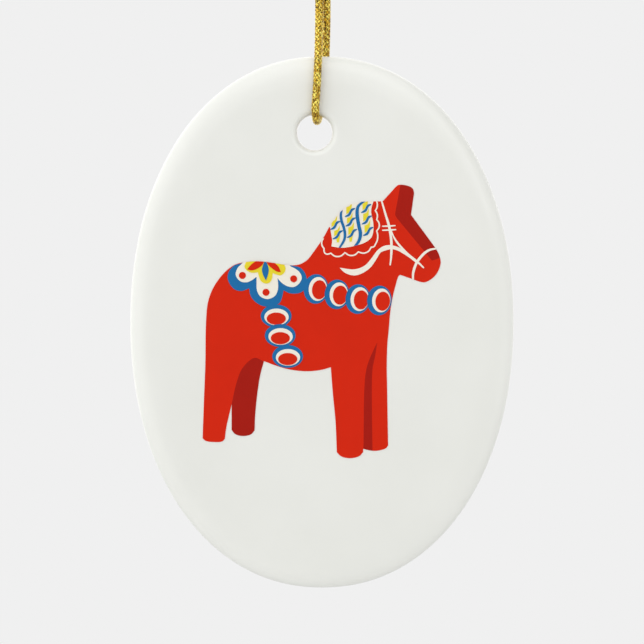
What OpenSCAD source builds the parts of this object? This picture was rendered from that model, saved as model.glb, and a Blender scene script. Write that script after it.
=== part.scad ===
// Oval glazed ceramic hanging ornament, printed with a folk-art wooden horse, on a cord loop.
// Millimetres, +Z up, the printed face looks towards -Y.
// The origin is the hang point: the inside of the loop's top, just under the knot.

/* [Disc] */
// Width of the oval disc
disc_w = 57; // [54:1:64]
// Height of the oval disc
disc_h = 79; // [76:1:88]
// Thickness of the disc at its middle
disc_t = 3; // [2.6:0.1:3.2]
// Exponent of the oval outline: 2 is an ellipse, more is squarer
squareness = 2.12; // [2:0.01:2.3]
// Width of the band over which each face rolls down to the rim
rim_roll = 4.5; // [3:0.1:5]

/* [Hanging hole] */
// Diameter of the hole
hole_d = 5.2; // [5.2:0.1:6]
// Height of the hole's centre above the disc's centre
hole_up = 28.15; // [27.9:0.05:28.4]
// Sideways place of the hole's centre
hole_x = -1.1; // [-1.2:0.05:-1]
// Radius of the rounded lip at each mouth of the hole
lip_r = 1; // [0.9:0.1:1.3]

/* [Cord] */
// Diameter of the braided cord
cord_d = 1.2; // [1:0.05:1.2]
// Depth of the hole's centre below the hang point
hang_drop = 72; // [72:0.5:80]

/* [Print] */
// Thickness of one layer of ink
ink_t = 0.05; // [0.03:0.01:0.08]

/* [Hidden] */

half_w = disc_w / 2;
half_h = disc_h / 2;
half_t = disc_t / 2;
disc_z = -hang_drop - hole_up; // height of the disc's centre
bulge = 2.3; // exponent of the rim's rolled profile
around = 120; // points around the oval
rim_rings = 9; // rings from the flat face to the rim's edge

// ---- curves -------------------------------------------------------------

function gap(a, b) = sqrt(norm(b - a));

// Point at t on the smooth span from b to c, with a before it and d after it.
function span_point(a, b, c, d, t) =
    let (
        d1 = gap(a, b), d2 = gap(b, c), d3 = gap(c, d),
        h1 = (d1 * d1 * c - d2 * d2 * a + (2 * d1 * d1 + 3 * d1 * d2 + d2 * d2) * b)
            / (3 * d1 * (d1 + d2)),
        h2 = (d3 * d3 * b - d2 * d2 * d + (2 * d3 * d3 + 3 * d3 * d2 + d2 * d2) * c)
            / (3 * d3 * (d3 + d2)),
        s = 1 - t
    )
    s * s * s * b + 3 * s * s * t * h1 + 3 * s * t * t * h2 + t * t * t * c;

// A smooth curve through the points p, in n steps a span.
function curve(p, n = 5) =
    let (last = len(p) - 1)
    [
        for (i = [0:last - 1], k = [0:n - 1])
            span_point(
                i == 0 ? 2 * p[0] - p[1] : p[i - 1], p[i], p[i + 1],
                i + 1 == last ? 2 * p[last] - p[last - 1] : p[i + 2], k / n
            ),
        p[last]
    ];

function but_last(p) = [for (i = [0:len(p) - 2]) p[i]];

// A closed outline made of stretches that meet at corners: two points make a straight one.
function outline(stretches) =
    [for (s = stretches) each but_last(len(s) == 2 ? s : curve(s))];

function turned(p, a) = [p.x * cos(a) - p.y * sin(a), p.x * sin(a) + p.y * cos(a)];

function oval(c, rx, ry, tilt = 0, n = 48) =
    [for (i = [0:n - 1]) c + turned([rx * cos(i * 360 / n), ry * sin(i * 360 / n)], tilt)];

// How full a brush stroke is at t along it, from its tip a to its tip b.
function swell(t, a, b) =
    t < 0.35 ? a + (1 - a) * sin(90 * t / 0.35)
    : t > 0.65 ? b + (1 - b) * sin(90 * (1 - t) / 0.35)
    : 1;

// The outline of a band of width w along the points c, with tips a and b as full as they say.
function band(c, w, a = 1, b = 1) =
    let (
        m = len(c) - 1,
        side = [
            for (i = [0:m])
                let (d = c[min(i + 1, m)] - c[max(i - 1, 0)])
                [-d.y, d.x] / norm(d) * w / 2 * swell(i / m, a, b)
        ]
    )
    concat([for (i = [0:m]) c[i] + side[i]], [for (i = [m:-1:0]) c[i] - side[i]]);

// The outline of a brush stroke of width w on a smooth curve through the points p.
function stroke(p, w, a = 0.5, b = 0.5) = band(curve(p), w, a, b);

// ---- disc ---------------------------------------------------------------

function signed_power(x, e) = sign(x) * pow(abs(x), e);

// A point of the oval, pulled in from the outline by inset, at depth y.
function rim_point(a, inset, y) = [
    (half_w - inset) * signed_power(cos(a), 2 / squareness),
    y,
    disc_z + (half_h - inset) * signed_power(sin(a), 2 / squareness)
];

// How far in from the outline, and how far off the middle plane, ring i lies.
function rim_inset(i) = rim_roll * (1 - sin(90 * i / rim_rings));
function rim_depth(i) =
    half_t * pow(1 - pow(1 - rim_inset(i) / rim_roll, bulge), 1 / bulge);

module blank_disc() {
    rows = [
        for (i = [0:rim_rings]) [rim_inset(i), -rim_depth(i)],
        for (i = [rim_rings - 1:-1:0]) [rim_inset(i), rim_depth(i)]
    ];
    points = [
        for (r = rows, k = [0:around - 1]) rim_point(360 * k / around, r[0], r[1])
    ];
    faces = [
        [for (k = [0:around - 1]) k],
        for (j = [0:len(rows) - 2], k = [0:around - 1])
            let (a = j * around + k, b = j * around + (k + 1) % around)
            each [[a, a + around, b], [b, a + around, b + around]],
        [for (k = [around - 1:-1:0]) (len(rows) - 1) * around + k]
    ];
    polyhedron(points = points, faces = faces);
}

// The ring of material that is taken off to round one mouth of the hole.
module lip_cut() {
    reach = 0.3; // how far the cutter stands proud of the face
    translate([hole_x, 0, disc_z + hole_up]) rotate([90, 0, 0])
        rotate_extrude($fn = 64) difference() {
            translate([hole_d / 2 - reach, half_t - lip_r])
                square([lip_r + reach, lip_r + reach]);
            translate([hole_d / 2 + lip_r, half_t - lip_r]) circle(lip_r, $fn = 64);
        }
}

module ceramic_disc() {
    color("ivory") difference() {
        blank_disc();
        translate([hole_x, half_t + 1, disc_z + hole_up]) rotate([90, 0, 0])
            cylinder(d = hole_d, h = disc_t + 2, $fn = 64);
        lip_cut();
        mirror([0, 1, 0]) lip_cut();
    }
}

// ---- printed horse ------------------------------------------------------
// Drawn flat, in millimetres from the disc's centre, right and up.

// Lays a flat drawing on the face as layer number level of the ink.
module ink(level) {
    translate([0, -half_t - level * ink_t, disc_z]) rotate([90, 0, 0])
        linear_extrude(ink_t) children();
}

module horse_outline() {
    polygon(outline([
        [[9, 17.9], [10.9, 20]], // ear
        [[10.9, 20], [11.3, 20.3], [11.9, 20.35], [13, 20.1], [13.5, 19.7], [13.65, 19.1]],
        [[13.65, 19.1], [13.2, 15.9]],
        [[13.2, 15.9], [16.8, 11]], // brow and nose
        [[16.8, 11], [17.3, 10.1], [17.6, 8.9], [17.3, 7.7], [16.5, 6.6], [15.3, 5.9],
            [14.4, 6], [13.6, 6.3]],
        [[13.6, 6.3], [11.6, 7]], // jaw
        [[11.6, 7], [11.35, 6.8], [10.9, 5.4], [10.4, 3.3], [10.1, 1.3], [9.9, -1.1],
            [9.7, -3.2], [9.6, -6.5], [9.65, -9.5], [9.75, -15.7]], // throat and chest
        [[9.75, -15.7], [9.8, -18.3]],
        [[9.8, -18.3], [9.5, -18.7], [8.7, -19], [7.5, -19.1], [6.1, -18.8]], // far forefoot
        [[6.1, -18.8], [6.1, -19.3]],
        [[6.1, -19.3], [5.5, -19.9], [4.2, -20.2], [2.8, -19.9], [2.2, -19.3]], // near forefoot
        [[2.2, -19.3], [2, -14.7], [1.6, -10.5], [1.3, -6.7]],
        [[1.3, -6.7], [-0.1, -7.1], [-2.4, -7.3], [-5, -7], [-7, -6.4], [-8.6, -5.8]], // belly
        [[-8.6, -5.8], [-9.1, -7.6], [-9.5, -9.9], [-9.9, -13.7], [-10, -16.1]],
        [[-10, -16.1], [-10.6, -16.7], [-11.9, -16.9], [-12.9, -16.6], [-13.4, -16]],
        [[-13.4, -16], [-13.4, -12.2]], // far hind foot
        [[-13.4, -12.2], [-14.2, -15.7], [-14.4, -17.3]],
        [[-14.4, -17.3], [-14.8, -17.7], [-16.1, -17.8], [-17.3, -17.6], [-17.7, -17.2]],
        [[-17.7, -17.2], [-17.5, -11.5], [-17.3, -6.3], [-17.2, -0.1], [-16.9, 3],
            [-16, 5.3], [-14.4, 7.4], [-12.9, 8.5], [-11.2, 8.9], [-9.5, 9], [-7.5, 8.8],
            [-5.6, 8.5], [-4.2, 8.4], [-3.2, 8.6], [-2.2, 9.2], [-1.1, 10.6], [0.2, 12.5],
            [1.2, 14.3], [2.4, 16], [3.9, 17.2], [5, 17.7], [6.4, 17.85], [9, 17.9]]
    ]));
}

module hind_leg_patch() {
    polygon(outline([
        [[-13.4, -12.2], [-12.7, -9.1], [-11.9, -7], [-10.6, -5.6], [-9.9, -5.3], [-8.5, -5.9]],
        [[-8.5, -5.9], [-8, -18]],
        [[-8, -18], [-13.9, -18]],
        [[-13.9, -18], [-13.4, -12.2]]
    ]));
}

module foreleg_patch() {
    polygon(outline([
        [[6.2, -19.6], [6.15, -18.6]],
        [[6.15, -18.6], [6.3, -9.5], [6.6, -6.9], [7.3, -4.9], [8.2, -3]],
        [[8.2, -3], [7.9, -4.9], [7.5, -6.9], [7.4, -9.5], [7.5, -19.6]],
        [[7.5, -19.6], [6.2, -19.6]]
    ]));
}

module face_patch() {
    polygon(outline([
        [[11.6, 21], [11.6, 20.2]],
        [[11.6, 20.2], [10.9, 16.4]],
        [[10.9, 16.4], [10.85, 15.9], [11.1, 15.4]],
        [[11.1, 15.4], [16.3, 9.1]],
        [[16.3, 9.1], [18.4, 9.8]],
        [[18.4, 9.8], [18.4, 21]],
        [[18.4, 21], [11.6, 21]]
    ]));
}

module horse_body_red() {
    color([0.82, 0.17, 0.09]) ink(0) difference() {
        horse_outline();
        hind_leg_patch();
        foreleg_patch();
        face_patch();
    }
}

// A darker side of the horse, let into the same layer as the body.
module shade() {
    color([0.65, 0.14, 0.1]) ink(0) intersection() {
        horse_outline();
        children();
    }
}

module hind_leg_shade() { shade() hind_leg_patch(); }
module foreleg_shade() { shade() foreleg_patch(); }
module face_shade() { shade() face_patch(); }

// Ink that lies on the horse and stops at its outline.
module on_horse(level, tint) {
    color(tint) ink(level) intersection() {
        horse_outline();
        union() children();
    }
}

cream = [0.93, 0.91, 0.87];
yellow = [0.91, 0.86, 0.15];
blue = [0.1, 0.43, 0.69];
red = [0.82, 0.17, 0.09];

// ---- mane ---------------------------------------------------------------

// Lower left end of each short wave, column by column, and the room above it.
waves = [
    [1.2, 13.7, 1.4], [1.6, 12.3, 1.4],
    [3.4, 15.6, 1.6], [3.5, 14.2, 1.4], [3.7, 12.5, 1.7],
    [5.8, 16.2, 1.6], [5.9, 14.5, 1.7], [6.1, 12.8, 1.7]
];

module mane_shape() {
    polygon(outline([
        [[0.4, 15], [1.2, 14]],
        [[1.2, 14], [1.35, 13.1], [1.5, 12.1], [1.4, 11.2]],
        [[1.4, 11.2], [3, 11], [4.9, 11.3], [6.4, 11.8], [7.3, 12.5], [7.6, 13.4],
            [7.6, 14.7], [7.3, 16.2], [7.35, 17], [7.6, 17.8]],
        [[7.6, 17.8], [7.8, 19]],
        [[7.8, 19], [0.4, 19]],
        [[0.4, 19], [0.4, 15]]
    ]));
}

module short_wave(at) {
    polygon(stroke([for (p = [[0, 0], [0.6, 0.3], [1, 1], [1.5, 1.25]]) at + p], 0.36, 0.3, 0.3));
}

module long_waves() {
    polygon(stroke([[3.2, 17.4], [2.8, 16], [2.9, 15], [3.2, 14.1], [3.4, 13.1], [3.3, 12.2],
        [2.6, 11]], 0.4, 0.5, 0.7));
    polygon(stroke([[6.4, 18], [5.4, 17.2], [5.2, 16.3], [5.3, 15.2], [5.5, 14.1], [5.7, 13.1],
        [5.5, 12.1], [4.9, 11.2]], 0.52, 0.5, 0.7));
}

module wave_strokes() {
    long_waves();
    for (w = waves) short_wave([w.x, w.y]);
}

// One slanted dab of yellow that fills the room h above a short wave.
module yellow_dab(at, h) {
    polygon([for (p = [[0.2, 0.4], [0.65, 0.65], [1, 1.4], [1.05, h + 0.65], [0.7, h],
        [0.2, h - 0.2]]) at + p]);
}

module on_mane(level, tint) {
    color(tint) ink(level) intersection() {
        horse_outline();
        mane_shape();
        union() children();
    }
}

module mane_panel() { on_horse(1, cream) mane_shape(); }
module mane_blue_waves() { on_mane(2, blue) wave_strokes(); }

module mane_yellow_strokes() {
    on_mane(2, yellow) difference() {
        union() {
            for (w = waves) yellow_dab([w.x, w.y], w.z);
            for (foot = [[2.1, 12.1], [4, 12.2]])
                polygon([for (p = [[0, 0.3], [0.6, 0.8], [0.4, -0.3], [0.1, -0.3]]) foot + p]);
        }
        wave_strokes();
    }
}

// Corners of the scalloped line below the mane, with how far each scallop bulges out.
scallops = [
    [8, 18.1, 0.25], [7.9, 16.5, 0.2], [8.1, 15.2, 0.4], [8.1, 13.5, 0.25], [7.9, 11.5, 0.15],
    [7.3, 11.1, 0.5], [5.4, 10.4, 0.5], [3.4, 10.3, 0.55], [1.3, 10.2, 0.5], [0.3, 10.9, 0.3],
    [0.2, 12.4, 0]
];

// Points of the scallop from corner a to corner b, without b.
function scallop(a, b, height) =
    let (out = turned(b - a, 90) / norm(b - a) * height)
    but_last(curve([a, (3 * a + b) / 4 + 0.8 * out, (a + b) / 2 + out,
        (a + 3 * b) / 4 + 0.8 * out, b], 2));

module scallop_line() {
    line_w = 0.21;
    corner = [for (s = scallops) [s.x, s.y]];
    polygon(band([
        for (i = [0:len(corner) - 2]) each scallop(corner[i], corner[i + 1], scallops[i].z),
        corner[len(corner) - 1]
    ], line_w));
}

module mane_scallop_line() { on_horse(1, cream) scallop_line(); }

// ---- bridle -------------------------------------------------------------

module strap_strokes() {
    polygon(stroke([[8.8, 18.1], [9.5, 15.7], [9.9, 14.4], [10.1, 13.4], [10.25, 12.3],
        [10.3, 11], [10.25, 9.7], [10.1, 8.4]], 0.38, 0.6, 0.5));
    polygon(stroke([[8.9, 14.2], [9.9, 14.22], [10.9, 14.3]], 0.22, 0.7, 0.7));
    polygon(stroke([[8.9, 13.6], [9.9, 13.63], [11, 13.7]], 0.22, 0.7, 0.7));
    polygon(stroke([[10.2, 13.7], [10.8, 12.3], [11.9, 10.9], [12.8, 10], [13.8, 9.2],
        [14.5, 8.6], [15.1, 8]], 0.32, 0.4, 0.6));
}

module noseband_stroke() {
    polygon(stroke([[17, 10.9], [16, 10.7], [15.3, 10.3], [14.7, 9.7], [14.1, 8.9],
        [13.7, 8], [13.5, 7.1], [13.5, 6.1]], 0.38, 0.6, 0.7));
}

module rein_shape() {
    polygon(outline([
        [[2.6, 8.05], [3.4, 7.3], [4.7, 6.9], [5.9, 7.2], [7.1, 8], [8, 9.2], [8.7, 10.3],
            [9.4, 10.6], [10.3, 10.8], [11.2, 10.6], [12.1, 10.1], [13, 9.5], [13.9, 8.8]],
        [[13.9, 8.8], [13.9, 9.1], [12.9, 10], [11.7, 10.9], [10.7, 11.3], [9.8, 11.4], [9, 11.2],
            [8.2, 10.6], [7.3, 9.4], [6.5, 8.5], [5.6, 8], [4.6, 7.8], [2.6, 8.05]]
    ]));
}

module noseband() { on_horse(1, cream) noseband_stroke(); }

module bridle_straps() {
    on_horse(1, cream) difference() {
        strap_strokes();
        noseband_stroke();
    }
}

module rein() {
    on_horse(1, cream) difference() {
        rein_shape();
        strap_strokes();
        noseband_stroke();
    }
}

// ---- saddle -------------------------------------------------------------

module saddle_shape() {
    polygon(outline([
        [[-11.2, 9.8], [-11.8, 8.8], [-13, 8.4], [-13.8, 7.5], [-14, 6.5], [-13.6, 5.5],
            [-12.9, 4.8], [-11.9, 4.6], [-10.8, 5]],
        [[-10.8, 5], [-10.7, 4.2], [-10.3, 3.4], [-9.5, 2.7], [-8.5, 2.3], [-7.4, 2.4],
            [-6.3, 2.8], [-5.9, 3.7], [-5.7, 4.7]],
        [[-5.7, 4.7], [-4.9, 4.3], [-4, 4.2], [-3.1, 4.4], [-2.5, 5], [-2.2, 5.8],
            [-2.3, 6.6], [-2.6, 7.4], [-3.3, 8.1], [-4.6, 8.5], [-4.6, 9.8]],
        [[-4.6, 9.8], [-11.2, 9.8]]
    ]));
}

module saddle_blue_scallops() {
    on_horse(1, blue) difference() {
        saddle_shape();
        ring_chain(breast_at, breast_ovals, breast_tilt, 0);
        ring_chain(girth_at, girth_ovals, girth_tilt, 0);
    }
}

module saddle_petals() {
    on_horse(2, cream) polygon(outline([
        [[-11.2, 9.8], [-11.8, 8.75], [-12.5, 8], [-12.8, 7.1], [-12.5, 6.4], [-11.9, 5.95],
            [-11.1, 5.9], [-10.4, 6.2], [-9.7, 6.7]],
        [[-9.7, 6.7], [-9.7, 5.8], [-9.65, 4.75], [-9.2, 3.85], [-8.1, 3.4], [-7, 3.85],
            [-6.55, 4.75], [-6.5, 5.6], [-6.6, 6.5]],
        [[-6.6, 6.5], [-5.9, 5.75], [-5.1, 5.3], [-4.2, 5.2], [-3.5, 5.6], [-3, 6.5],
            [-3.3, 7.35], [-3.95, 7.9], [-4.8, 8.4], [-5.2, 9.8]],
        [[-5.2, 9.8], [-11.2, 9.8]]
    ]));
}

module saddle_yellow_flames() {
    on_horse(3, yellow) polygon(outline([
        [[-11, 9.8], [-11.3, 8.8], [-11.5, 8.2], [-11.1, 7.6], [-10.4, 7.3], [-9.5, 7.35]],
        [[-9.5, 7.35], [-9.3, 6.6], [-9, 6], [-8.3, 5.7], [-7.7, 5.9], [-7.4, 6.5],
            [-7.3, 7.25]],
        [[-7.3, 7.25], [-6.8, 7.05], [-6.2, 6.9], [-5.6, 7.3], [-5.4, 7.9], [-5.6, 8.6],
            [-5.6, 9.8]],
        [[-5.6, 9.8], [-11, 9.8]]
    ]));
}

module blue_leaf() {
    polygon(outline([
        [[-8.4, 9.2], [-8.05, 8.4], [-7.9, 7.7], [-8.05, 6.9], [-8.3, 6.15]],
        [[-8.3, 6.15], [-8.7, 6.9], [-8.9, 7.7], [-8.75, 8.4], [-8.4, 9.2]]
    ]));
}

module red_leaves() {
    polygon(outline([
        [[-11.1, 7.8], [-10.5, 8.5], [-9.8, 9], [-8.6, 9.5]],
        [[-8.6, 9.5], [-8.6, 8.9]],
        [[-8.6, 8.9], [-8.9, 8.4], [-9.6, 7.9], [-10.4, 7.65], [-11.1, 7.8]]
    ]));
    polygon(outline([
        [[-8.4, 9.3], [-6.9, 8.65], [-6.4, 8.1], [-6.1, 7.4]],
        [[-6.1, 7.4], [-6.6, 7.45], [-7.2, 7.8], [-7.8, 8.3], [-8.3, 8.95]],
        [[-8.3, 8.95], [-8.4, 9.3]]
    ]));
}

module saddle_red_leaves() {
    on_horse(4, red) difference() {
        red_leaves();
        blue_leaf();
    }
}

module saddle_blue_leaf() { on_horse(4, blue) blue_leaf(); }

module saddle_red_dots() {
    on_horse(3, red)
        for (p = [[-11.8, 6.9], [-8.3, 4.4], [-4.2, 6.4]]) translate(p) circle(0.52, $fn = 32);
}

// ---- chains of rings ----------------------------------------------------
// A ring is three nested ovals: [half width, half height, shift right, shift up].

breast_at = [[-0.9, 4.9], [2.2, 4.1], [5.3, 3.4], [8.5, 3.2]];
breast_ovals = [[1.83, 2.2, 0, 0], [1.36, 1.77, 0.29, 0], [1.08, 1.41, 0.5, -0.12]];
breast_tilt = -5;
girth_at = [[-6.8, 0.9], [-6.2, -2], [-5.1, -5.1]];
girth_ovals = [[2.28, 1.7, 0, 0], [1.8, 1.24, 0.06, -0.15], [1.42, 0.9, 0.02, -0.4]];
girth_tilt = 0;

module ring_oval(c, o, tilt) { polygon(oval(c + [o[2], o[3]], o[0], o[1], tilt)); }

// Oval number which of every ring; each ring is hidden where the next one covers it.
module ring_chain(places, ovals, tilt, which) {
    for (i = [0:len(places) - 1]) difference() {
        ring_oval(places[i], ovals[which], tilt);
        if (which > 0 && i < len(places) - 1) ring_oval(places[i + 1], ovals[0], tilt);
    }
}

module breast_rings_blue() { on_horse(1, blue) ring_chain(breast_at, breast_ovals, breast_tilt, 0); }
module breast_rings_cream() { on_horse(2, cream) ring_chain(breast_at, breast_ovals, breast_tilt, 1); }
module breast_rings_red() { on_horse(3, red) ring_chain(breast_at, breast_ovals, breast_tilt, 2); }
module girth_rings_blue() { on_horse(1, blue) ring_chain(girth_at, girth_ovals, girth_tilt, 0); }
module girth_rings_cream() { on_horse(2, cream) ring_chain(girth_at, girth_ovals, girth_tilt, 1); }
module girth_rings_red() { on_horse(3, red) ring_chain(girth_at, girth_ovals, girth_tilt, 2); }

// ---- cord ---------------------------------------------------------------

// Middle of the cord, from the knot down the front strand, through the hole, and up behind.
front_top = [
    [-0.62, 0, 1.2], [-1.35, 0, 0.2], [-1.8, 0, -1.4], [-1.7, 0, -3.4],
    [-1.2, -0.05, -6.5], [-0.8, -0.15, -10], [-0.6, -0.2, -14], [-0.57, -0.22, -21],
    [-0.54, -0.22, -31], [-0.49, -0.22, -41], [-0.44, -0.25, -51]
];
bottom = [
    [-0.44, -0.25, -51], [-0.44, -0.5, -54.5], [-0.48, -1, -57.5], [-0.54, -1.65, -60],
    [-0.62, -2.2, -62.3], [-0.74, -2.28, -64.7], [-0.88, -2.28, -66.9], [-0.98, -2.25, -68.4],
    [-0.93, -1.76, -69.65], [-0.82, -0.55, -70.2], [-0.68, 0.55, -70.2], [-0.52, 1.76, -69.65],
    [-0.38, 2.25, -68.4], [-0.15, 2.28, -66.9], [0.15, 2.28, -64.7], [0.42, 2.2, -62.3],
    [0.57, 1.65, -60], [0.65, 1, -57.5], [0.7, 0.5, -54.5], [0.7, 0.25, -51]
];
back_top = [
    [0.7, 0.25, -51], [0.65, 0.22, -41], [0.6, 0.22, -31], [0.57, 0.22, -21],
    [0.6, 0.2, -14], [0.8, 0.15, -10], [1.2, 0.05, -6.5], [1.7, 0, -3.4],
    [1.8, 0, -1.4], [1.35, 0, 0.2], [0.62, 0, 1.2]
];
cord_sides = 8;

// The route fits a drop of 72: a longer loop is longer between 14 and 51 below the hang point.
function hung(p) = [p.x, p.y, p.z - (hang_drop - 72) * min(1, max(0, (-p.z - 14) / 37))];
function cord_line(p) = curve([for (q = p) hung(q)], 2);

function unit(v) = v / norm(v);

// The ring of tube corners round a middle point, square to the direction of travel.
function tube_ring(at, along, d, sides) =
    let (u = unit([1, 0, 0] - along.x * along), v = cross(along, u))
    [
        for (k = [0:sides - 1])
            let (a = (k + 0.5) * 360 / sides)
            at + d / 2 * (cos(a) * u + sin(a) * v)
    ];

// A closed round tube of diameter d through the points p, which lie in the order of travel.
module tube(p, d, first, last, sides = cord_sides) {
    m = len(p) - 1;
    points = [
        for (i = [0:m])
            each tube_ring(
                p[i], i == 0 ? first : i == m ? last : unit(p[i + 1] - p[i - 1]), d, sides
            )
    ];
    faces = [
        [for (k = [0:sides - 1]) k],
        for (i = [0:m - 1], k = [0:sides - 1])
            let (a = i * sides + k, b = i * sides + (k + 1) % sides)
            each [[a, a + sides, b], [b, a + sides, b + sides]],
        [for (k = [sides - 1:-1:0]) m * sides + k]
    ];
    polyhedron(points = points, faces = faces);
}

down = [0, 0, -1];
up = [0, 0, 1];

module cord_loop_top() {
    color("goldenrod") {
        tube(cord_line(front_top), cord_d, down, down);
        tube(cord_line(back_top), cord_d, up, up);
    }
}

module cord_loop_bottom() {
    color("goldenrod") tube(cord_line(bottom), cord_d, down, up);
}

knot_from = 1.2; // underside of the knot
knot_h = 5.6;
knot_r = 2.4;
tail_h = 6;

module cord_knot() {
    color("goldenrod") {
        translate([-0.8, -0.4, knot_from]) rotate_extrude($fn = 32) polygon([
            [0, 0], [1.9, 0], [knot_r, 0.3 * knot_h], [knot_r, 0.7 * knot_h],
            [1.9, knot_h], [0, knot_h]
        ]);
        for (side = [-1, 1])
            tube(
                curve([for (p = [[0.7, 0, 0], [0.9, 0, 0.3], [1.6, 0, 0.65], [2.6, 0, 1]])
                    [side * p.x, 0, knot_from + knot_h - 0.2 + tail_h * p.z]], 2),
                cord_d, up, unit([side * 1, 0, 2])
            );
    }
}

ceramic_disc();
horse_body_red();
hind_leg_shade();
foreleg_shade();
face_shade();
mane_panel();
mane_yellow_strokes();
mane_blue_waves();
mane_scallop_line();
bridle_straps();
noseband();
rein();
saddle_blue_scallops();
saddle_petals();
saddle_yellow_flames();
saddle_red_leaves();
saddle_blue_leaf();
saddle_red_dots();
breast_rings_blue();
breast_rings_cream();
breast_rings_red();
girth_rings_blue();
girth_rings_cream();
girth_rings_red();
cord_loop_top();
cord_loop_bottom();
cord_knot();
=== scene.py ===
"""The looks of a flat oval ceramic ornament with a printed horse, hung on a gold braided cord."""

import math

import bpy
import numpy as np
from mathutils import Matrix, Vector

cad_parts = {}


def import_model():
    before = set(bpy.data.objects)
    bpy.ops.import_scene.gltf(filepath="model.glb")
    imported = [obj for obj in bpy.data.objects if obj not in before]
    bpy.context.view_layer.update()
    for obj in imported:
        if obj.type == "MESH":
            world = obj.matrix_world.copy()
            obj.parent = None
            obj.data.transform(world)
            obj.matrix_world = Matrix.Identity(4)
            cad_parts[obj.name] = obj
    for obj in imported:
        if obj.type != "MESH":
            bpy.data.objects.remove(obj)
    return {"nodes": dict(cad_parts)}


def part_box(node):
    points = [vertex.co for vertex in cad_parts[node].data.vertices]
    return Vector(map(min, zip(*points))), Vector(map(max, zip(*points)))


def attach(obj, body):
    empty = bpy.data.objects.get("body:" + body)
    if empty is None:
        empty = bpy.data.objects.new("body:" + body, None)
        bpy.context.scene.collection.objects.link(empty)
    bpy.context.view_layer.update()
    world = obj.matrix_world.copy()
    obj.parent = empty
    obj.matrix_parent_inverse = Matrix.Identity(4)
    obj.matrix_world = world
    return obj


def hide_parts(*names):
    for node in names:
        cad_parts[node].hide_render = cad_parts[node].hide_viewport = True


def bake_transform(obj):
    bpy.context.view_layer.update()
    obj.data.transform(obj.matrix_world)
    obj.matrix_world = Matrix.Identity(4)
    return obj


MM = 0.001

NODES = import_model()["nodes"]
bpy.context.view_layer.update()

# ---------------------------------------------------------------- sizes

disc_low, disc_high = (np.array(corner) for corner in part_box("ceramic_disc"))
DISC_HALF = (disc_high - disc_low) / 2
DISC_MIDDLE = (disc_high + disc_low) / 2
RIM_ROLL = 4.5 * MM  # how far the rounded rim reaches into the face
RIM_BULGE = 2.3  # exponent of the rim's profile
OUTLINE_POWER = 2.12  # 2 is an ellipse, more is squarer
HOLE_MIDDLE = np.array([-1.1 * MM, -72 * MM])  # x and z
HOLE_R = 2.6 * MM
LIP_R = 1.0 * MM  # how round the hole's two edges are

CORD_D = 1.2 * MM

# ---------------------------------------------------------------- the camera

VIEW_WIDTH = 95.5 * MM  # what the picture shows across, at the face
VIEW_DISTANCE = 450 * MM
SENSOR = 36.0
NEAREST_SEEN = 0.01


def make_camera():
    """A long lens, square on to the middle of the printed face."""
    data = bpy.data.cameras.new("camera")
    data.sensor_width = SENSOR
    data.lens = SENSOR * VIEW_DISTANCE / VIEW_WIDTH
    data.clip_start = NEAREST_SEEN
    camera = bpy.data.objects.new("camera", data)
    camera.location = (0, disc_low[1] - VIEW_DISTANCE, DISC_MIDDLE[2])
    camera.rotation_euler = (math.pi / 2, 0, 0)
    bpy.context.scene.collection.objects.link(camera)
    bpy.context.scene.camera = camera


# ---------------------------------------------------------------- node helpers


class Graph:
    """A material's or world's nodes, made with short calls."""

    def __init__(self, tree):
        self.tree = tree
        tree.nodes.clear()

    def add(self, kind, values=None, **settings):
        """A node with its settings, its sockets' values, and links for sockets given as sockets."""
        node = self.tree.nodes.new(kind)
        for name, value in settings.items():
            setattr(node, name, value)
        for name, value in (values or {}).items():
            if isinstance(value, bpy.types.NodeSocket):
                self.tree.links.new(value, node.inputs[name])
            else:
                node.inputs[name].default_value = value
        return node

    def math(self, operation, a, b):
        """Two numbers joined by an operation."""
        return self.add("ShaderNodeMath", {0: a, 1: b}, operation=operation).outputs[0]

    def vector(self, operation, a, b):
        """The node that joins two vectors by an operation."""
        return self.add("ShaderNodeVectorMath", {0: a, 1: b}, operation=operation)

    def range(self, value, low, high, to_low=0.0, to_high=1.0, kind="LINEAR"):
        """The value's range from low to high, taken to another range and held inside it."""
        sizes = {
            "Value": value,
            "From Min": low,
            "From Max": high,
            "To Min": to_low,
            "To Max": to_high,
        }
        return self.add("ShaderNodeMapRange", sizes, interpolation_type=kind).outputs[0]

    def mix(self, factor, a, b):
        """Colour a where factor is 0, and b where it is 1. Its sockets for them are 6 and 7."""
        return self.add("ShaderNodeMix", {0: factor, 6: a, 7: b}, data_type="RGBA").outputs[2]

    def noise(self, place, scale, detail, rough):
        """Soft noise from 0 to 1, with scale spots along each unit of place."""
        sizes = {"Vector": place, "Scale": scale, "Detail": detail, "Roughness": rough}
        return self.add("ShaderNodeTexNoise", sizes).outputs["Fac"]

    def cells(self, place, scale):
        """A node that splits space into random cells, with scale cells along each unit of place."""
        sizes = {"Vector": place, "Scale": scale, "Randomness": 1.0}
        return self.add("ShaderNodeTexVoronoi", sizes)

    def channels(self, colour):
        """The three numbers of a colour."""
        return self.add("ShaderNodeSeparateColor", {0: colour}).outputs

    def attribute(self, name):
        """The outputs of a number or vector that paint() left on the mesh."""
        return self.add("ShaderNodeAttribute", attribute_name=name).outputs

    def bump(self, height, strength, distance):
        """A normal bent by a height."""
        sizes = {"Height": height, "Strength": strength, "Distance": distance}
        return self.add("ShaderNodeBump", sizes).outputs[0]

    def place(self):
        """The point in metres, which moves with the piece."""
        return self.add("ShaderNodeTexCoord").outputs["Object"]

    def principled(self, values):
        """A surface from the values of its sockets."""
        return self.add("ShaderNodeBsdfPrincipled", values).outputs[0]

    def blend(self, factor, a, b):
        """Shader a where factor is 0, and b where it is 1."""
        return self.add("ShaderNodeMixShader", {0: factor, 1: a, 2: b}).outputs[0]


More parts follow.
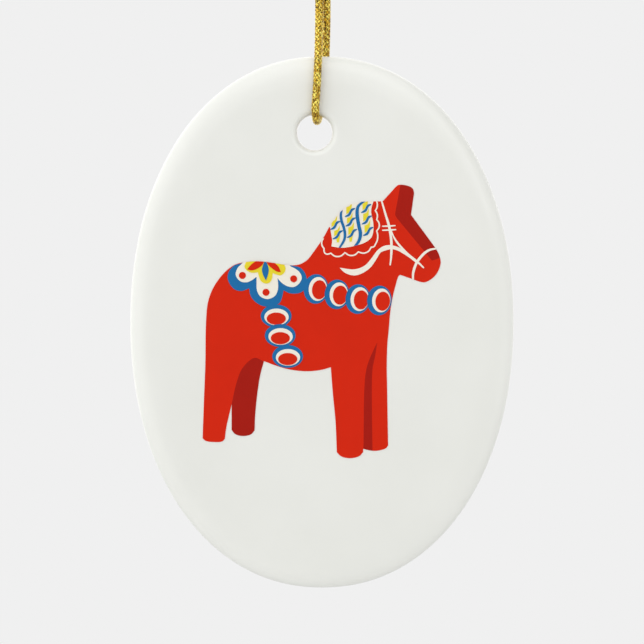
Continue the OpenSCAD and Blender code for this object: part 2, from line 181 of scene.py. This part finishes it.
def material(name, build):
    """A new material whose surface build(graph) returns."""
    made = bpy.data.materials.new(name)
    made.use_nodes = True
    graph = Graph(made.node_tree)
    surface = build(graph)
    graph.add("ShaderNodeOutputMaterial", {"Surface": surface})
    return made


def srgb(red, green, blue):
    """A display colour, 0 to 255, as the linear colour that a shader takes."""
    parts = [c / 255 for c in (red, green, blue)]
    linear = [c / 12.92 if c <= 0.04045 else ((c + 0.055) / 1.055) ** 2.4 for c in parts]
    return (*linear, 1.0)


# ---------------------------------------------------------------- the studio

BACKDROP = srgb(240, 240, 240)
SKY_COLOUR = (1.0, 1.0, 0.99, 1.0)
SKY = 1.32  # how bright the studio is all round
SKY_SIDE = -0.12  # what is added towards the right, so the left is brighter
SKY_UP = 0.025  # what is added towards the top
FRONT_DARK = 0.8  # how much of the light is missing round the camera
FRONT_FROM = 0.85  # where that dark patch starts, as the cosine from straight ahead
FRONT_TO = 0.97  # and where it is whole
FLAG_WAY = (0.62, -0.35, 0.7)  # a soft dark flag to the upper right
FLAG_DARK = 0.75
FLAG_FROM = 0.75  # where the flag starts, as the cosine from its middle
FLAG_TO = 0.95


def make_world():
    """A flat pale backdrop, and a soft studio that lights and shows in the gloss."""
    world = bpy.data.worlds.new("studio")
    bpy.context.scene.world = world
    world.use_nodes = True
    g = Graph(world.node_tree)
    out = g.add("ShaderNodeTexCoord").outputs["Generated"]
    way = g.add("ShaderNodeSeparateXYZ", {0: out}).outputs
    side = g.math("MULTIPLY", way["X"], SKY_SIDE)
    up = g.math("MULTIPLY", way["Z"], SKY_UP)
    tone = g.math("ADD", g.math("ADD", side, up), SKY)
    ahead = g.math("MULTIPLY", way["Y"], -1.0)
    patch = g.range(ahead, FRONT_FROM, FRONT_TO, 1.0, 1.0 - FRONT_DARK, kind="SMOOTHSTEP")
    tone = g.math("MULTIPLY", tone, patch)
    near = g.vector("DOT_PRODUCT", out, FLAG_WAY).outputs["Value"]
    flag = g.range(near, FLAG_FROM, FLAG_TO, 1.0, 1.0 - FLAG_DARK, kind="SMOOTHSTEP")
    tone = g.math("MULTIPLY", tone, flag)
    soft = g.add("ShaderNodeBackground", {"Color": SKY_COLOUR, "Strength": tone}).outputs[0]
    flat = g.add("ShaderNodeBackground", {"Color": BACKDROP, "Strength": 1.0}).outputs[0]
    seen = g.add("ShaderNodeLightPath").outputs["Is Camera Ray"]
    g.add("ShaderNodeOutputWorld", {"Surface": g.blend(seen, soft, flat)})


KEY_PLACE = (0.1, -0.56, 0.28)
KEY_SIZE = 0.6
KEY_POWER = 0.8


def make_key_light():
    """A square soft light that faces the middle of the disc."""
    data = bpy.data.lights.new("key", "AREA")
    data.size = KEY_SIZE
    data.energy = KEY_POWER
    light = bpy.data.objects.new("key", data)
    light.location = KEY_PLACE
    aim = Vector((0, 0, DISC_MIDDLE[2])) - Vector(KEY_PLACE)
    light.rotation_euler = aim.to_track_quat("-Z", "Y").to_euler()
    light.visible_camera = False
    bpy.context.scene.collection.objects.link(light)


FLOOR_DROP = 0.26  # from the disc's lowest point down to the floor
FLOOR_R = 2.4
FLOOR_SIDES = 96
FLOOR_FADE = (0.5, 1.9)  # where the floor fades into the backdrop
FLOOR_COLOUR = (0.66, 0.66, 0.66, 1)


def make_floor():
    """A pale floor well below the hanging piece, which fades into the backdrop."""
    turn = [2 * math.pi * i / FLOOR_SIDES for i in range(FLOOR_SIDES)]
    ring = [(FLOOR_R * math.cos(a), FLOOR_R * math.sin(a), 0) for a in turn]
    faces = [(0, i + 1, (i + 1) % FLOOR_SIDES + 1) for i in range(FLOOR_SIDES)]
    mesh = bpy.data.meshes.new("floor")
    mesh.from_pydata([(0, 0, 0)] + ring, [], faces)
    floor = bpy.data.objects.new("floor", mesh)
    floor.location = (0, 0, disc_low[2] - FLOOR_DROP)
    bpy.context.scene.collection.objects.link(floor)

    def surface(g):
        out = g.add("ShaderNodeVectorMath", {0: g.place()}, operation="LENGTH").outputs["Value"]
        fade = g.range(out, *FLOOR_FADE, kind="SMOOTHSTEP")
        pale = g.add("ShaderNodeBsdfDiffuse", {"Color": FLOOR_COLOUR}).outputs[0]
        clear = g.add("ShaderNodeBsdfTransparent").outputs[0]
        return g.blend(fade, pale, clear)

    mesh.materials.append(material("floor_pale", surface))


# ---------------------------------------------------------------- meshes


def add_piece(name, points, faces, body, finish):
    """A smooth mesh piece in metres that wears a material, and rides on a body if it has one."""
    mesh = bpy.data.meshes.new(name)
    mesh.from_pydata([tuple(p) for p in points], [], faces)
    mesh.materials.append(finish)
    mesh.polygons.foreach_set("use_smooth", [True] * len(mesh.polygons))
    mesh.validate()
    mesh.update()
    piece = bpy.data.objects.new(name, mesh)
    bpy.context.scene.collection.objects.link(piece)
    if body:
        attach(piece, body)
    return piece


def paint(piece, name, values):
    """A number or a vector for each point of a piece, which its material reads."""
    values = np.asarray(values, np.float32)
    wide = values.ndim == 2
    layer = piece.data.attributes.new(name, "FLOAT_VECTOR" if wide else "FLOAT", "POINT")
    layer.data.foreach_set("vector" if wide else "value", values.ravel())


def grid_faces(rows, columns, closed_rows=False):
    """Faces between rings of points that each go once round."""
    row = np.arange(rows if closed_rows else rows - 1)[:, None] * columns
    column = np.arange(columns)[None, :]
    here = row + column
    right = row + (column + 1) % columns
    total = rows * columns
    corners = [here, right, (right + columns) % total, (here + columns) % total]
    return np.stack(corners, axis=-1).reshape(-1, 4).tolist()


def tube_faces(rings, around):
    """The faces of a closed tube: its side, and its two ends."""
    first = list(range(around))[::-1]
    last = [(rings - 1) * around + k for k in range(around)]
    return grid_faces(rings, around) + [first, last]


def shifted(faces, start):
    """The faces again, for points that come after the first start points."""
    return [[k + start for k in face] for face in faces]


# ---------------------------------------------------------------- lines

# The cord's middle in millimetres: down the front strand, through the hole, and up the back one.
ROUTE_FRONT = [
    (-0.62, 0, 1.2), (-1.35, 0, 0.2), (-1.8, 0, -1.4), (-1.7, 0, -3.4),
    (-1.2, -0.05, -6.5), (-0.8, -0.15, -10), (-0.6, -0.2, -14), (-0.57, -0.22, -21),
    (-0.54, -0.22, -31), (-0.49, -0.22, -41), (-0.44, -0.25, -51),
]  # fmt: skip
ROUTE_BOTTOM = [
    (-0.44, -0.25, -51), (-0.44, -0.5, -54.5), (-0.48, -1, -57.5), (-0.54, -1.65, -60),
    (-0.62, -2.2, -62.3), (-0.74, -2.28, -64.7), (-0.88, -2.28, -66.9), (-0.98, -2.25, -68.4),
    (-0.93, -1.76, -69.65), (-0.82, -0.55, -70.2), (-0.68, 0.55, -70.2), (-0.52, 1.76, -69.65),
    (-0.38, 2.25, -68.4), (-0.15, 2.28, -66.9), (0.15, 2.28, -64.7), (0.42, 2.2, -62.3),
    (0.57, 1.65, -60), (0.65, 1, -57.5), (0.7, 0.5, -54.5), (0.7, 0.25, -51),
]  # fmt: skip
ROUTE_BACK = [
    (0.7, 0.25, -51), (0.65, 0.22, -41), (0.6, 0.22, -31), (0.57, 0.22, -21),
    (0.6, 0.2, -14), (0.8, 0.15, -10), (1.2, 0.05, -6.5), (1.7, 0, -3.4),
    (1.8, 0, -1.4), (1.35, 0, 0.2), (0.62, 0, 1.2),
]  # fmt: skip


def smooth_line(points, steps):
    """A smooth curve through points, with steps of its own points between each two."""
    p = np.array(points, float)
    p = np.vstack([2 * p[0] - p[1], p, 2 * p[-1] - p[-2]])
    line = []
    for a, b, c, d in zip(p, p[1:], p[2:], p[3:]):
        d1, d2, d3 = (math.sqrt(np.linalg.norm(v)) for v in (b - a, c - b, d - c))
        near = d1 * d1 * c - d2 * d2 * a + (2 * d1 * d1 + 3 * d1 * d2 + d2 * d2) * b
        near /= 3 * d1 * (d1 + d2)
        far = d3 * d3 * b - d2 * d2 * d + (2 * d3 * d3 + 3 * d3 * d2 + d2 * d2) * c
        far /= 3 * d3 * (d3 + d2)
        for t in np.arange(steps) / steps:
            s = 1 - t
            line.append(s**3 * b + 3 * s * s * t * near + 3 * s * t * t * far + t**3 * c)
    line.append(p[-2])
    return np.array(line)


def evenly(line, step):
    """The line with its points the same step apart, and how far along it each one is."""
    along = np.concatenate([[0], np.cumsum(np.linalg.norm(np.diff(line, axis=0), axis=1))])
    at = np.linspace(0, along[-1], int(round(along[-1] / step)) + 1)
    return np.stack([np.interp(at, along, line[:, k]) for k in range(3)], axis=1), at


def soften(line, times):
    """Rounds a line off in place, and leaves its ends where they are."""
    for _ in range(times):
        line[1:-1] = (line[:-2] + 2 * line[1:-1] + line[2:]) / 4


def travel(line):
    """The direction of travel at each point of a line."""
    way = np.gradient(line, axis=0)
    return way / np.linalg.norm(way, axis=1)[:, None]


def squared(way, side):
    """A direction square to each direction of travel, which starts from side and never spins."""
    sides = np.zeros_like(way)
    for i, w in enumerate(way):
        side = side - w * (side @ w)
        side /= np.linalg.norm(side)
        sides[i] = side
    return sides


def rings_round(line, radius, around):
    """Rings of points round a line, in one list. The radius is a number or an array of them."""
    way = travel(line)
    sides = squared(way, np.cross(way[0], (0, 1, 0)))
    other = np.cross(way, sides)
    turn = (2 * math.pi * np.arange(around) / around)[None, :, None]
    out = np.cos(turn) * sides[:, None, :] + np.sin(turn) * other[:, None, :]
    return (line[:, None, :] + radius * out).reshape(-1, 3)


# ---------------------------------------------------------------- the braid

BRAID_STRANDS = 6  # each way round
BRAID_PITCH = 0.72 * MM  # along the cord, from one strand to the next
BRAID_DEEP = 0.1 * MM  # from the top of a strand to the gap between strands
BRAID_AROUND = 42  # points round the cord
BRAID_STEP = 0.08 * MM  # from one ring of points to the next
BRAID_ROUND = 0.6  # how much of a strand's height is its own round back
BRAID_WEAVE = 0.4  # and how much comes from passing over and under


def braid(line, along, taper=None):
    """A round braid along a line: its points and faces, and for each point its height and its film.

    The film is where the point lies on its own flat strand: across it, along it, and which strand.
    """
    turn = 2 * math.pi * np.arange(BRAID_AROUND) / BRAID_AROUND
    share = BRAID_STRANDS * turn[None, :] / (2 * math.pi)
    run = along[:, None] / BRAID_PITCH
    u, v = share + run, share - run
    i, j = np.round(u), np.round(v)
    back_u, back_v = np.cos(math.pi * (u - i)), np.cos(math.pi * (v - j))
    over = np.where((i + j) % 2 == 0, 1.0, -1.0)
    right = BRAID_ROUND * back_u + BRAID_WEAVE * over * back_v
    left = BRAID_ROUND * back_v - BRAID_WEAVE * over * back_u
    height = np.clip(np.maximum(right, left), 0, 1) ** 0.6
    radius = CORD_D / 2 - BRAID_DEEP * (1 - height)
    if taper is not None:
        radius = radius * taper[:, None]
    points = rings_round(line, radius[:, :, None], BRAID_AROUND)
    leans_right = right > left
    across = np.where(leans_right, u - i, v - j)
    down = np.where(leans_right, v, u)
    strand = np.where(leans_right, i % BRAID_STRANDS, j % BRAID_STRANDS + BRAID_STRANDS)
    film = np.stack([across, down, strand], axis=-1).reshape(-1, 3)
    return points, tube_faces(len(line), BRAID_AROUND), height.ravel(), film


ROUTE_STEPS = 20  # curve points between two points of the route


def make_cord(finish, knot):
    """The loop of braided cord, which rides on no body."""
    parts = [smooth_line(part, ROUTE_STEPS) for part in (ROUTE_FRONT, ROUTE_BOTTOM, ROUTE_BACK)]
    route = np.vstack([parts[0], parts[1][1:], parts[2][1:]]) * MM
    points, faces, height, film = braid(*evenly(route, BRAID_STEP))
    cord = add_piece("gold_cord", points, faces, None, finish)
    paint(cord, "height", height)
    paint(cord, "film", film)
    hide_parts("cord_loop_top", "cord_loop_bottom")
    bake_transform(cord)


# ---------------------------------------------------------------- the knot
# The sizes in this section are in millimetres.

STRAND_OUT = 0.62  # from the middle between the two strands to each one
LOOSE_OPEN = 0.35  # how much of a closed knot's turn is left out for the ends, in radians
LOOSE_WIDE = 1.5  # the loose knot is six times as wide as this
LOOSE_STEP = 0.5  # between the points of its middle line
LOOSE_SOFT = 30  # how many times that line is rounded off
KNOT_STEP = 0.6  # between the points of a strand
KNOT_TURNS = 1800  # how many times the tails are pulled
KNOT_SEATED = 300  # turns after which the strands under the knot hang straight
KNOT_HELD = 31  # points of each strand below the knot, which are held
KNOT_FOOT = -17.6  # height of the lowest of them
KNOT_PULL = 0.5  # how far each turn pulls the tails' ends up
KNOT_LAST_PULL = 0.05  # the same, once the knot is tight
KNOT_TIGHT = 0.85  # share of the turns after which it is
KNOT_LOOK = 15  # turns from one search for points near each other to the next
KNOT_MENDS = 6  # times in each turn that lengths and overlaps are put right
KNOT_CURL = 0.1  # how strongly a strand straightens out
KNOT_PUSH = 0.3  # how strongly two strands push each other apart
KNOT_CENTRE = 0.1  # share of the way that each turn brings the tails' ends back to the middle
KNOT_LIFT = 0.8  # from where the knot seats up to the loop's ends


def loose_knot():
    """Two strands side by side round one wide overhand knot, as rows of points."""
    t = np.linspace(LOOSE_OPEN, 2 * math.pi - LOOSE_OPEN, 400)
    r = 2 + np.cos(3 * t)
    turns = np.stack([r * np.cos(2 * t) - 3, np.sin(3 * t), r * np.sin(2 * t)], axis=1) * LOOSE_WIDE
    start = [(0, -1.5, -16), (0, -1.5, -10), (1, -1.2, -5), (1.2, -0.8, 0)]
    end = [(1.2, 0.8, 0), (1, 1.2, 5), (0, 1.5, 10), (0, 1.5, 18)]
    line = evenly(np.vstack([start, turns, end]), LOOSE_STEP)[0]
    soften(line, LOOSE_SOFT)
    offset = squared(travel(line), np.array([1.0, 0, 0]))
    pair = [evenly(line + offset * out, KNOT_STEP)[0] for out in (-STRAND_OUT, STRAND_OUT)]
    count = min(len(strand) for strand in pair)
    return np.stack([strand[:count] for strand in pair])


def keep_steps(x, count):
    """Puts the steps between a strand's points back to their length, every other one at a time."""
    for head in (0, count):
        for odd in (0, 1):
            a = np.arange(head + odd, head + count - 1, 2)
            step = x[a + 1] - x[a]
            length = np.linalg.norm(step, axis=1)[:, None]
            mend = 0.5 * (length - KNOT_STEP) / length * step
            x[a] += mend
            x[a + 1] -= mend


def uncurl(x, count):
    """Moves each point of the strands towards the middle of its neighbours."""
    for head in (0, count):
        strand = x[head : head + count]
        middle = (strand[:-2] + strand[2:]) / 2 - strand[1:-1]
        strand[1:-1] += KNOT_CURL * middle


def push_apart(x, near, far, wide):
    """Moves pairs of points away from each other where the strands overlap."""
    step = x[far] - x[near]
    square = (step**2).sum(1)
    hit = square < wide * wide
    length = np.sqrt(square[hit])[:, None]
    push = KNOT_PUSH * (wide - length) / length * step[hit]
    np.add.at(x, far[hit], push)
    np.add.at(x, near[hit], -push)


def tied_knot():
    """The loose knot pulled tight. The strands keep their length and stay out of each other."""
    loose = loose_knot()
    count = loose.shape[1]
    x = loose.reshape(-1, 3).copy()
    wide = CORD_D / MM
    held = np.concatenate([np.arange(KNOT_HELD), count + np.arange(KNOT_HELD)])
    start = x[held].copy()
    rise = KNOT_STEP * np.arange(KNOT_HELD) + KNOT_FOOT
    none = 0 * rise
    straight = [np.stack([none + out, none, rise], axis=1) for out in (-STRAND_OUT, STRAND_OUT)]
    goal = np.concatenate(straight)
    first, second = np.triu_indices(2 * count, 1)
    apart = (first // count != second // count) | (np.abs(first - second) >= 4)
    first, second = first[apart], second[apart]
    for turn in range(KNOT_TURNS):
        share = min(1, turn / KNOT_SEATED)
        hold = start * (1 - share) + goal * share
        x[held] = hold
        pull = KNOT_PULL if turn < KNOT_TURNS * KNOT_TIGHT else KNOT_LAST_PULL
        for end, out in ((count - 1, -STRAND_OUT), (2 * count - 1, STRAND_OUT)):
            x[end, 2] += pull
            x[end, 0] += (out - x[end, 0]) * share * KNOT_CENTRE
            x[end, 1] -= x[end, 1] * share * KNOT_CENTRE
        if turn % KNOT_LOOK == 0:
            close = ((x[second] - x[first]) ** 2).sum(1) < (3 * wide) ** 2
            near, far = first[close], second[close]
        for _ in range(KNOT_MENDS):
            keep_steps(x, count)
            x[held] = hold
            uncurl(x, count)
            push_apart(x, near, far, wide)
    return x.reshape(2, count, 3)


TAIL = 6.0  # length of a tail above the knot
TAIL_FROM = 7.4  # height where the tails start
TAIL_STEP = 0.1  # from one ring of points to the next, in the knot and tails
TAIL_BELOW = 60  # points of a whole strand that are surely below its tail
CUT_BELOW = 30  # the same, once the strand starts at the knot
KNOT_FROM = 1.7  # height where the knot's own strands start, above the loop's ends
SPLAY_SIDE = 1.5  # how far the tails part at their tips
SPLAY_FRONT = -0.7  # and lean forwards
FLARE = 0.22  # how much thicker a tail gets where it frays
FLARE_FROM = 0.93  # share of its length where that starts
FRAY = 24  # loose threads at each tail's end
FRAY_TURN = 2.4  # angle from one thread to the next, in radians
FRAY_POINTS = 7  # along a thread
FRAY_SIDES = 6  # round a thread
FRAY_R = 0.055
FRAY_HEIGHT = 0.9  # as high as near the top of a braid's strand, so the loose threads get none of the painted gap shade


def flare(share):
    """How thick a tail is, at a share of its length."""
    return 1 + FLARE * np.clip((share - FLARE_FROM) / (1 - FLARE_FROM), 0, 1) ** 1.5


def knot_strand(strand, side, lean):
    """A strand from its end of the loop, through the knot and to the tip of its splayed tail."""
    start = np.argmax(strand[:, 2] > KNOT_FROM)
    in_tail = (strand[:, 2] > TAIL_FROM + TAIL) & (np.arange(len(strand)) > TAIL_BELOW)
    tip = np.nonzero(in_tail)[0][0]
    below = [(side * 1.17, 0, 0.45), (side * 0.98, 0, 0.75), (side * 0.72, 0, 1.2)]
    line = np.vstack([below, strand[start : tip + 1]])
    soften(line, 2)
    upper = np.arange(len(line)) > CUT_BELOW
    splay = np.clip((line[:, 2] - TAIL_FROM) / TAIL, 0, None) * upper
    line[:, 0] += lean * SPLAY_SIDE * splay**1.6
    line[:, 1] += SPLAY_FRONT * splay**1.5
    return line


def frayed_threads(line, chance):
    """Loose threads that spread from the tip of a line."""
    way = line[-1] - line[-2]
    way /= np.linalg.norm(way)
    share = np.linspace(0, 1, FRAY_POINTS)[:, None]
    threads = []
    for n in range(FRAY):
        angle = FRAY_TURN * n
        out = 0.5 * math.sqrt((n + 0.5) / FRAY)
        root = line[-1] + (out * math.cos(angle), out * math.sin(angle), 0) - 0.25 * way
        spread = np.array([math.cos(angle), math.sin(angle), 0]) * out * chance.uniform(0.3, 1.1)
        reach = chance.uniform(0.7, 1.5)
        threads.append((root + way * reach * share + spread * share**2) * MM)
    return threads


def make_knot(finish):
    """The tied overhand knot over the loop, with two cut and frayed tails."""
    chance = np.random.default_rng(7)
    points, faces, heights, films = [], [], [], []
    threads = []
    start = 0
    for strand, side, lean in zip(tied_knot() + (0, 0, KNOT_LIFT), (-1, 1), (1, -1)):
        line = knot_strand(strand, side, lean)
        threads += frayed_threads(line, chance)
        even, along = evenly(smooth_line(line, 6) * MM, TAIL_STEP * MM)
        ring, ring_faces, height, film = braid(even, along, flare(along / along[-1]))
        points.append(ring)
        faces += shifted(ring_faces, start)
        heights.append(height)
        films.append(film)
        start += len(ring)
    for thread in threads:
        ring = rings_round(thread, FRAY_R * MM, FRAY_SIDES)
        none = np.zeros(len(ring))
        points.append(ring)
        faces += shifted(tube_faces(len(thread), FRAY_SIDES), start)
        heights.append(none + FRAY_HEIGHT)
        films.append(np.stack([none, ring[:, 2] / MM, none], axis=1))
        start += len(ring)
    knot = add_piece("tied_knot", np.vstack(points), faces, "hanger", finish)
    paint(knot, "height", np.concatenate(heights))
    paint(knot, "film", np.vstack(films))
    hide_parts("cord_knot")
    return knot


# ---------------------------------------------------------------- the disc

DISC_AROUND = 720  # points round the disc
RIM_RINGS = 28  # rings of points over half of the rim
FLAT_RINGS = 14  # across the flat face
LIP_RINGS = 12  # over one rounded edge of the hole
HOLE_SHADE_FROM = 0.05 * MM  # out from the hole's wall, where the painted shade starts to fade
HOLE_SHADE_TO = 0.3 * MM  # and where it is gone


def disc_ring(inset, turn):
    """The disc's outline, moved in by inset, as x and z."""
    across, high = DISC_HALF[0] - inset, DISC_HALF[2] - inset
    c, s = np.cos(turn), np.sin(turn)
    x = across * np.sign(c) * np.abs(c) ** (2 / OUTLINE_POWER)
    z = high * np.sign(s) * np.abs(s) ** (2 / OUTLINE_POWER)
    return np.stack([x + DISC_MIDDLE[0], z + DISC_MIDDLE[2]], axis=1)


def disc_half():
    """Rings over one face, from the middle of the hole's wall to the middle of the disc's edge.

    Each is its points, as x and z, and its height over the disc's middle plane.
    """
    turn = 2 * math.pi * (np.arange(DISC_AROUND) + 0.5) / DISC_AROUND
    half = DISC_HALF[1]
    inner = disc_ring(RIM_ROLL, turn)
    ways = inner - HOLE_MIDDLE
    ways /= np.linalg.norm(ways, axis=1)[:, None]
    rings = [(HOLE_MIDDLE + ways * HOLE_R, 0.0)]
    for bend in np.linspace(0, math.pi / 2, LIP_RINGS):
        out = HOLE_R + LIP_R * (1 - math.cos(bend))
        rings.append((HOLE_MIDDLE + ways * out, half - LIP_R * (1 - math.sin(bend))))
    lip = HOLE_MIDDLE + ways * (HOLE_R + LIP_R)
    for share in np.linspace(0, 1, FLAT_RINGS + 1)[1:]:
        rings.append((lip * (1 - share) + inner * share, half))
    for share in np.linspace(0, 1, RIM_RINGS + 1)[1:]:
        bend = math.pi / 2 * share
        inset = RIM_ROLL * (1 - math.sin(bend) ** (2 / RIM_BULGE))
        rings.append((disc_ring(inset, turn), half * math.cos(bend) ** (2 / RIM_BULGE)))
    return rings


def make_disc(finish):
    """The glazed disc: a closed mesh of quads, finest round the rim and the hole."""
    front = disc_half()
    back = [(xz, -y) for xz, y in front[-2:0:-1]]
    rings = [(xz, -y + DISC_MIDDLE[1]) for xz, y in front + back]
    points = [np.stack([xz[:, 0], np.full(len(xz), y), xz[:, 1]], axis=1) for xz, y in rings]
    faces = grid_faces(len(rings), DISC_AROUND, closed_rows=True)
    disc = add_piece("glazed_disc", np.vstack(points), faces, "ornament", finish)
    out = np.concatenate([np.linalg.norm(xz - HOLE_MIDDLE, axis=1) for xz, y in rings])
    # painted shade: full on the hole's wall, fading out over the next 0.3 mm of its rounded edges
    paint(disc, "hole_wall_shade", np.clip((HOLE_R + HOLE_SHADE_TO - out) / (HOLE_SHADE_TO - HOLE_SHADE_FROM), 0, 1))
    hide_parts("ceramic_disc")


# ---------------------------------------------------------------- materials

GLAZE_CLOUDS = ((0.800, 0.807, 0.768, 1), (0.822, 0.828, 0.792, 1))
# painted shade: the darker grey of the hole's wall and its rounded edges
HOLE_SHADE_COLOUR = (0.70, 0.69, 0.65, 1)
CLOUD_SCALE = 70  # to a metre
PINHOLE_SCALE = 210.0
PINHOLE_R = (0.02, 0.045)  # where a pinhole ends, as a share of its cell
PINHOLE_RARE = 0.94  # share of the cells that have none
PINHOLE_COLOUR = (0.55, 0.53, 0.47, 1)
WAVE_SCALE = 160  # of the glaze's slow unevenness
COAT_IOR = 1.45


def glaze(g):
    """White glaze: a little cool, faintly cloudy, with a few pinholes, a soft clear coat, and
    painted shade on the hole's wall.
    """
    place = g.place()
    cloud = g.range(g.noise(place, CLOUD_SCALE, 3.0, 0.55), 0.3, 0.7)
    colour = g.mix(cloud, *GLAZE_CLOUDS)
    cells = g.cells(place, PINHOLE_SCALE)
    spot = g.range(cells.outputs["Distance"], *PINHOLE_R, 1.0, 0.0)
    rare = g.math("GREATER_THAN", g.channels(cells.outputs["Color"])[0], PINHOLE_RARE)
    pinhole = g.math("MULTIPLY", spot, rare)
    colour = g.mix(g.math("MULTIPLY", pinhole, 0.35), colour, PINHOLE_COLOUR)
    # painted shade: the hole's wall and its edges turn darker grey
    colour = g.mix(g.attribute("hole_wall_shade")["Fac"], colour, HOLE_SHADE_COLOUR)
    wave = g.math("MULTIPLY", g.noise(place, WAVE_SCALE, 1.0, 0.4), 0.25)
    height = g.math("SUBTRACT", wave, g.math("MULTIPLY", pinhole, 0.3))
    return g.principled(
        {
            "Base Color": colour,
            "Roughness": 0.3,
            "Specular IOR Level": 0.35,
            "Coat Weight": 0.6,
            "Coat Roughness": 0.06,
            "Coat IOR": COAT_IOR,
            "Normal": g.bump(height, 0.25, 0.1 * MM),
        }
    )


INK_CLOUD_SCALE = 120  # to a metre
INK_GRAIN_SCALE = 5200


def ink(colour, shade=0.93):
    """Printed ink under the glaze: a slightly uneven tone, fine grain and a soft gloss."""

    def surface(g):
        place = g.place()
        cloud = g.range(g.noise(place, INK_CLOUD_SCALE, 3.0, 0.6), 0.3, 0.7)
        grain = g.range(g.noise(place, INK_GRAIN_SCALE, 1.0, 0.5), 0.25, 0.75)
        tone = g.math("ADD", g.math("MULTIPLY", cloud, 0.7), g.math("MULTIPLY", grain, 0.3))
        dark = (*(c * shade for c in colour[:3]), 1.0)
        wave = g.noise(place, WAVE_SCALE, 1.0, 0.4)
        return g.principled(
            {
                "Base Color": g.mix(tone, dark, colour),
                "Roughness": 0.38,
                "Specular IOR Level": 0.1,
                "Coat Weight": 0.3,
                "Coat Roughness": 0.08,
                "Coat IOR": COAT_IOR,
                "Normal": g.bump(wave, 0.2, 0.03 * MM),
            }
        )

    return surface


FLECKS = (3.0, 1.3, 7.3)  # across a strand, along it, and from strand to strand
GOLD_TONES = (
    (0.22, srgb(40, 23, 2)),
    (0.4, srgb(170, 118, 15)),
    (0.58, srgb(238, 188, 40)),
    (0.8, srgb(255, 240, 118)),
)
# painted shade: dark brown laid on the low gaps between the braid's strands
GAP_SHADE_COLOUR = srgb(58, 38, 5)
GAP_SHADE_HEIGHT = (0.3, 0.75)  # of the braid, from where the painted gap shade is darkest to where there is none


def gold_thread(g):
    """Metallic thread: flat gold film with bright and dark flecks, and painted shade, dark brown,
    in the braid's low gaps.
    """
    fine = g.vector("MULTIPLY", g.attribute("film")["Vector"], FLECKS).outputs[0]
    parts = g.channels(g.cells(fine, 1.0).outputs["Color"])
    broad = g.noise(fine, 0.45, 2.0, 0.6)
    tone = g.math("ADD", g.math("MULTIPLY", parts[0], 0.75), g.math("MULTIPLY", broad, 0.4))
    ramp = g.add("ShaderNodeValToRGB", {"Fac": tone})
    stops = ramp.color_ramp.elements
    stops[0].position, stops[0].color = GOLD_TONES[0]
    stops[1].position, stops[1].color = GOLD_TONES[-1]
    for position, colour in GOLD_TONES[1:-1]:
        stops.new(position).color = colour
    # painted shade: the braid's low gaps are darkened towards brown
    gap_shade = g.range(g.attribute("height")["Fac"], *GAP_SHADE_HEIGHT, 0.7, 0.0, kind="SMOOTHSTEP")
    tilt = g.math("ADD", parts[1], g.noise(fine, 2.0, 1.0, 0.5))
    return g.principled(
        {
            "Base Color": g.mix(gap_shade, ramp.outputs[0], GAP_SHADE_COLOUR),
            "Metallic": 0.7,
            "Roughness": 0.3,
            "Normal": g.bump(tilt, 1.0, 0.06 * MM),
        }
    )


INKS = {
    "red": ink((0.655, 0.0172, 0.0010, 1)),
    "dark_red": ink((0.375, 0.0078, 0.0020, 1)),
    "blue": ink((0.0120, 0.150, 0.385, 1)),
    "yellow": ink((0.800, 0.670, 0.035, 1)),
    "cream": ink((0.860, 0.820, 0.720, 1), shade=0.97),
}
PRINT = {
    "red": [
        "horse_body_red", "saddle_red_leaves", "saddle_red_dots", "breast_rings_red",
        "girth_rings_red",
    ],
    "dark_red": ["hind_leg_shade", "foreleg_shade", "face_shade"],
    "blue": [
        "mane_blue_waves", "saddle_blue_scallops", "saddle_blue_leaf", "breast_rings_blue",
        "girth_rings_blue",
    ],
    "yellow": ["mane_yellow_strokes", "saddle_yellow_flames"],
    "cream": [
        "mane_panel", "mane_scallop_line", "bridle_straps", "noseband", "rein", "saddle_petals",
        "breast_rings_cream", "girth_rings_cream",
    ],
}  # fmt: skip


def print_horse():
    """Each printed layer is a CAD part that keeps its shape and gets its ink."""
    for colour, names in PRINT.items():
        finish = material("ink_" + colour, INKS[colour])
        for name in names:
            for place in NODES[name].material_slots:
                place.material = finish


# ---------------------------------------------------------------- the scene

bpy.context.scene.view_settings.view_transform = "Standard"
make_camera()
gold = material("gold_thread", gold_thread)
make_cord(gold, make_knot(gold))
make_disc(material("white_glaze", glaze))
print_horse()
make_world()
make_key_light()
make_floor()
